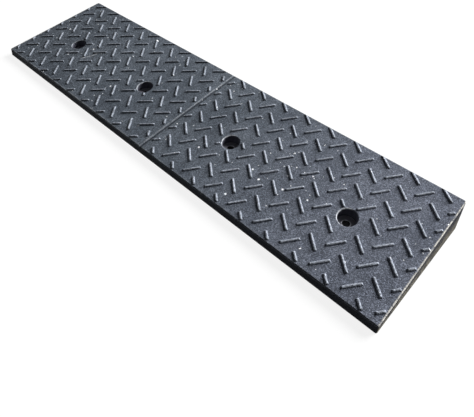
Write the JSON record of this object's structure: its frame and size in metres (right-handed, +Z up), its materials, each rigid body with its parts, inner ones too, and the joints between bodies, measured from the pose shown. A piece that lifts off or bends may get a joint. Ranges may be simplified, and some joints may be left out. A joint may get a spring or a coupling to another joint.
{
  "type": "threshold ramp",
  "caption": "Low rubber wedge ramp in butted halves, with raised tread bars, counterbored fixing holes with steel sleeves and a coffered underside, for wheels to cross a step.",
  "frame": {"origin": "centre of the ramp's footprint, on the ground", "axes": "+X along the ramp's length, +Y up the slope from the front lip to the rear, +Z up"},
  "size_m": [1, 0.25, 0.0619],
  "materials": {
    "rubber": "dark blue-grey moulded rubber with a fine grain",
    "steel": "plain zinc-plated steel tube",
    "dowel": "natural nylon"
  },
  "bodies": {
    "left_half": {"module_left": "rubber", "fixing_sleeve_1": "steel", "fixing_sleeve_2": "steel", "joining_dowel_front": "dowel", "joining_dowel_rear": "dowel"},
    "right_half": {"module_right": "rubber", "fixing_sleeve_3": "steel", "fixing_sleeve_4": "steel"}
  },
  "joints": [
    {"name": "module_slide", "type": "slide", "parent": "left_half", "child": "right_half", "axis": [1, 0, 0], "range_m": [0, 0.06]}
  ]
}
